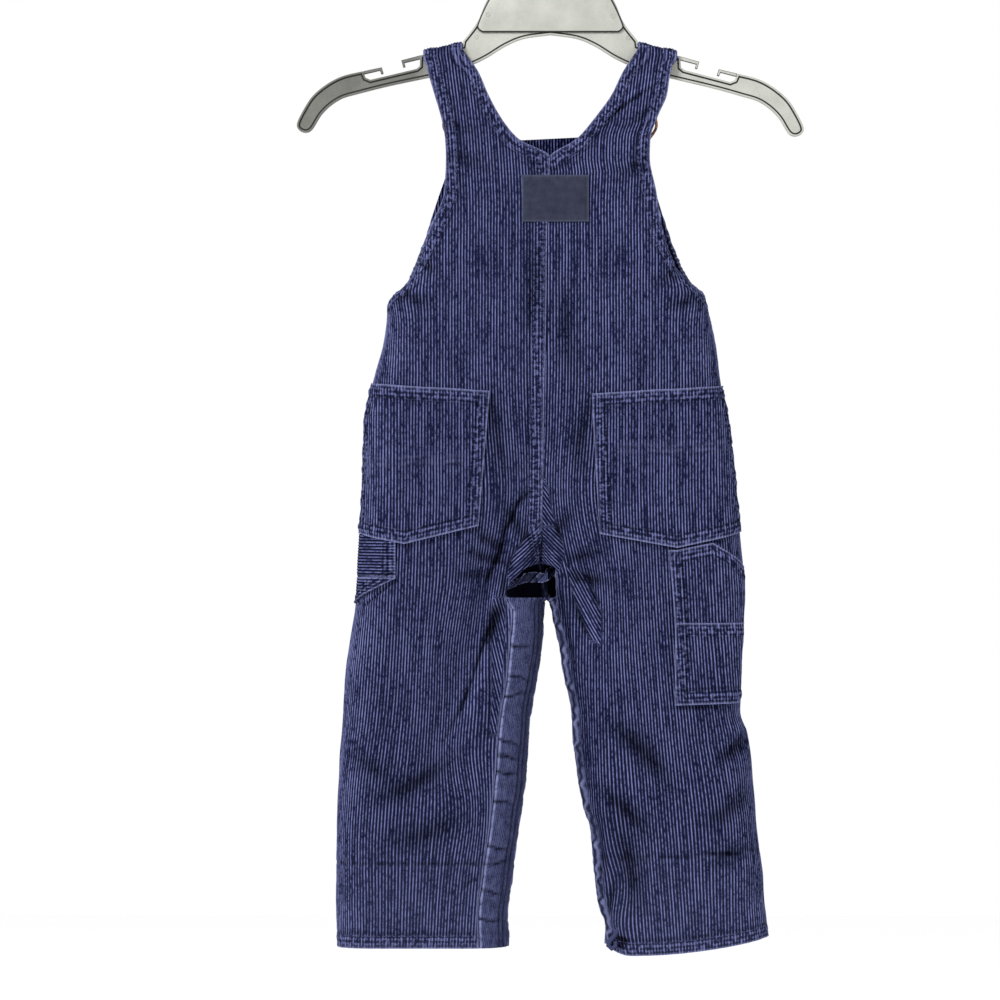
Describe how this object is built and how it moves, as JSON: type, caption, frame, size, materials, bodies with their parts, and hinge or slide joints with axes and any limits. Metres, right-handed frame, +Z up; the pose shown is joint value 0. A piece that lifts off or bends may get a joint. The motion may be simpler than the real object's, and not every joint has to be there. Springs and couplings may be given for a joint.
{
  "type": "bib overalls on a clothes hanger",
  "caption": "Toddler's navy corduroy bib overalls hung by their straps on a grey plastic hanger, hollow as worn, with back pockets, tool pocket and hammer loop.",
  "frame": {"origin": "inside top of the hanger's hook, where a rail carries it", "axes": "+Z up, -Y out of the garment's back (the side that shows), -X towards the wearer's left"},
  "size_m": [0.3056, 0.0476, 0.6443],
  "materials": {
    "corduroy": "navy cotton corduroy, fine upright wales, worn paler on ridges and seams",
    "twill": "navy cotton twill tape, washed",
    "patch": "plain dark woven patch, satin",
    "copper_metal": "antique copper plated",
    "grey_plastic": "silver grey moulded plastic with a soft gloss"
  },
  "bodies": {
    "root": {"back_left": "corduroy", "back_right": "corduroy", "bib": "corduroy", "front_left": "corduroy", "front_right": "corduroy", "back_pocket_left": "corduroy", "back_pocket_right": "corduroy", "tool_pocket": "corduroy", "tool_pocket_lower": "corduroy", "hammer_loop": "corduroy", "placket_left": "twill", "placket_right": "twill", "crotch_tape": "twill", "back_patch": "patch", "bib_button_left": "copper_metal", "bib_button_right": "copper_metal", "clasp_left": "copper_metal", "clasp_right": "copper_metal", "hanger_centre": "grey_plastic", "hanger_arm_left": "grey_plastic", "hanger_arm_right": "grey_plastic", "notch_finger_inner_left": "grey_plastic", "notch_finger_outer_left": "grey_plastic", "notch_finger_inner_right": "grey_plastic", "notch_finger_outer_right": "grey_plastic", "hook": "grey_plastic"}
  },
  "joints": []
}
